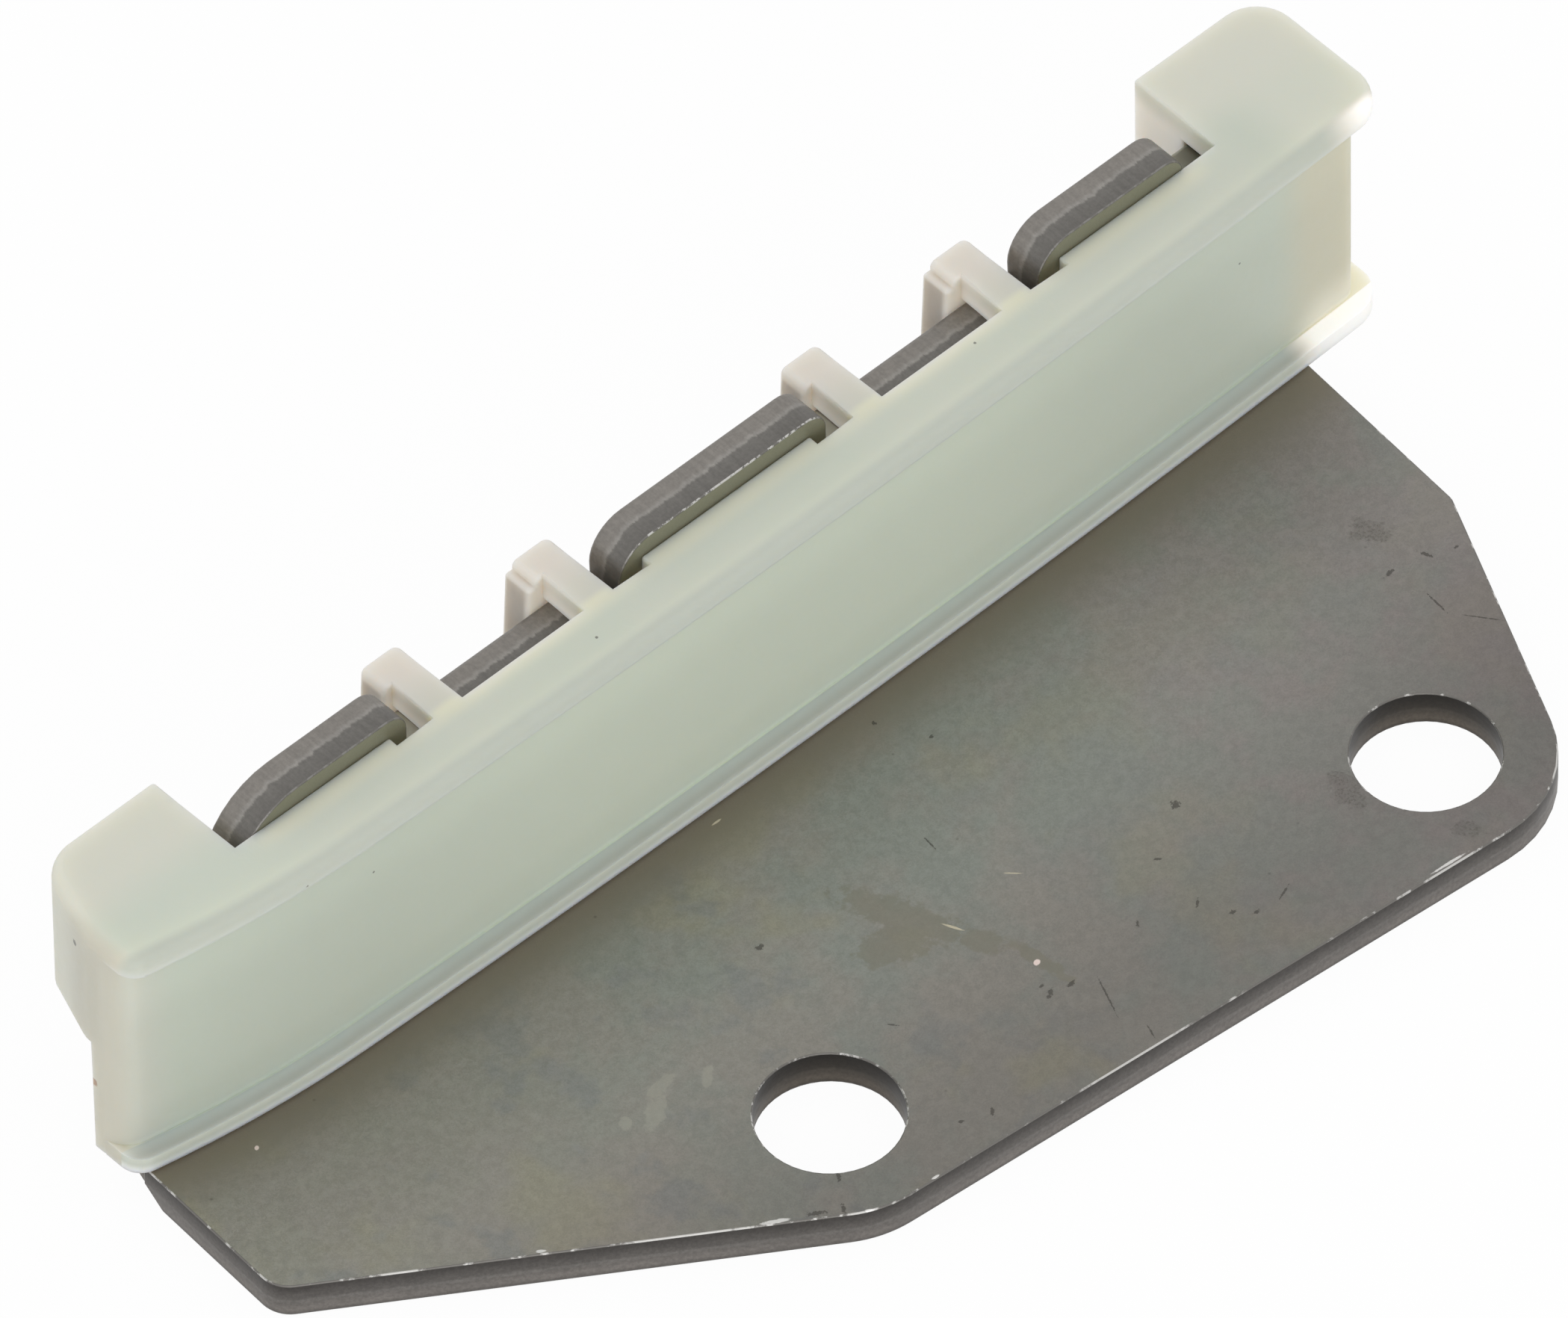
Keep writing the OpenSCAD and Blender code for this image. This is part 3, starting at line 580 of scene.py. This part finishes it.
def inner_skin(face):
    """True on the other side of the sheet: top of the plate, inside of the bend, front of the flange."""
    c, nrm = face.calc_center_median() / MM, face.normal
    if nrm.z > 0.9 and abs(c.z - SHEET) < 0.01:
        return True
    if nrm.y < -0.9 and abs(c.y - FLANGE_BACK + SHEET) < 0.01:
        return True
    r = math.hypot(c.y - BEND_Y, c.z - BEND_OUT)
    return abs(nrm.x) < 0.1 and c.y > BEND_Y and c.z < BEND_OUT and abs(r - BEND_IN) < 0.05


def make_bracket():
    bm = solid_copy("bracket")
    for f in bm.faces:
        f.material_index = 0 if outer_skin(f) or inner_skin(f) else 1
    rolled, burred = [], []
    for e in sharp(bm):
        sides = [outer_skin(f) for f in e.link_faces]
        (rolled if any(sides) else burred).append(e)
    bevel(bm, rolled, DIE_ROLL, 4)
    for f in bevel(bm, burred, BURR, 2):
        f.material_index = 2
    materials = [steel_face(), steel_sheared(), steel_burr()]
    return finish_piece(bm, "bracket_steel", materials, "bracket")


def middle(edge):
    return sum((v.co for v in edge.verts), Vector()) / 2 / MM


def on_fingers_or_blocks(edge):
    at = middle(edge)
    return at.y > FLANGE_BACK - 2.5 and at.z > FLANGE_TOP - 4


def on_bottom_lip(edge):
    at = middle(edge)
    return at.y < FLANGE_BACK - 5 and at.z < 4.2


def on_post_foot(edge):
    """Where the bottom lip runs out into the left post, too fine to round."""
    at = middle(edge)
    return at.x < -29 and at.z < 4.2


def make_shoe():
    bm = solid_copy("guide_shoe")
    # A clamp would shrink every rounding to suit the short edges of the arcs
    soft = [e for e in sharp(bm) if on_fingers_or_blocks(e) and e.calc_face_angle_signed() > 0]
    bevel(bm, soft, FINGER_ROUND, 3, clamp=False)
    bevel(bm, [e for e in sharp(bm, 40) if on_bottom_lip(e)], LIP_ROUND, 2)
    rest = [e for e in sharp(bm, 40) if not (on_bottom_lip(e) or on_fingers_or_blocks(e) or on_post_foot(e))]
    rest = [e for e in rest if e.calc_face_angle_signed() > 0 and e.calc_length() > SHORT_EDGE * MM]
    bevel(bm, rest, MOULD_ROUND, 3, clamp=False)
    return finish_piece(bm, "shoe_nylon", [nylon()], "guide_shoe")


def make_floor():
    bm = bmesh.new()
    bmesh.ops.create_grid(bm, x_segments=1, y_segments=1, size=3.0)
    bmesh.ops.translate(bm, verts=bm.verts, vec=(0, 0, -0.0001))
    mesh = bpy.data.meshes.new("floor")
    bm.to_mesh(mesh)
    bm.free()
    floor = bpy.data.objects.new("floor", mesh)
    scene.collection.objects.link(floor)
    mat, n = new_material("floor_white")
    plain = n.add("ShaderNodeBsdfDiffuse", Color=(0.9, 0.9, 0.9, 1))
    glow = n.add("ShaderNodeEmission", Color=(1, 1, 1, 1), Strength=1.0)
    share = n.math("MULTIPLY", seen_directly(n), FLOOR_GLOW)
    shader_out(n, n.add("ShaderNodeMixShader", i0=share, i1=plain, i2=glow))
    mesh.materials.append(mat)
    return floor


def seen_directly(n):
    """One for the camera, for reflections and for what shows through."""
    path = n.add("ShaderNodeLightPath").node.outputs
    bounced = n.math("MAXIMUM", path["Is Glossy Ray"], path["Is Transmission Ray"])
    return n.math("MAXIMUM", path["Is Camera Ray"], bounced)


def make_world():
    world = bpy.data.worlds.new("studio")
    world.use_nodes = True
    world.node_tree.nodes.clear()
    n = Nodes(world.node_tree)
    light = n.add("ShaderNodeBackground", Color=(1, 1, 1, 1), Strength=0.85)
    white = n.add("ShaderNodeBackground", Color=(1, 1, 1, 1), Strength=1.0)
    mixed = n.add("ShaderNodeMixShader", i0=seen_directly(n), i1=light, i2=white)
    n.put(mixed, n.tree.nodes.new("ShaderNodeOutputWorld").inputs["Surface"])
    scene.world = world


def area_light(name, place, target, size, watts):
    data = bpy.data.lights.new(name, "AREA")
    data.shape = "SQUARE"
    data.size = size
    data.energy = watts
    lamp = bpy.data.objects.new(name, data)
    lamp.location = place
    lamp.rotation_mode = "QUATERNION"
    lamp.rotation_quaternion = (Vector(target) - Vector(place)).to_track_quat("-Z", "Y")
    scene.collection.objects.link(lamp)
    return lamp


def make_camera():
    """The photograph's view, from the left of the shoe's face and above."""
    a, e, roll = math.radians(VIEW_BEARING), math.radians(VIEW_RISE), math.radians(VIEW_ROLL)
    right = Vector((math.cos(a), -math.sin(a), 0))
    up = Vector((math.sin(a) * math.sin(e), math.cos(a) * math.sin(e), math.cos(e)))
    back = Vector((-math.sin(a) * math.cos(e), -math.cos(a) * math.cos(e), math.sin(e)))
    across = math.cos(roll) * right + math.sin(roll) * up
    upward = math.cos(roll) * up - math.sin(roll) * right
    data = bpy.data.cameras.new("photo_view")
    data.sensor_width = 36.0
    data.lens = data.sensor_width * PX_PER_MM * VIEW_DISTANCE / PHOTO_WIDTH
    data.clip_start, data.clip_end = 0.05, 50.0
    cam = bpy.data.objects.new("photo_view", data)
    place = (AIM_ACROSS * across + AIM_UP * upward + VIEW_DISTANCE * back) * MM
    turn = Matrix((across, upward, back)).transposed().to_4x4()
    cam.matrix_world = Matrix.Translation(place) @ turn
    scene.collection.objects.link(cam)
    scene.camera = cam


make_bracket()
make_shoe()
make_floor()
make_world()
area_light("front_softbox", (-0.55, -0.85, 0.45), (0.015, 0.01, 0.01), 0.9, 3.0)
make_camera()
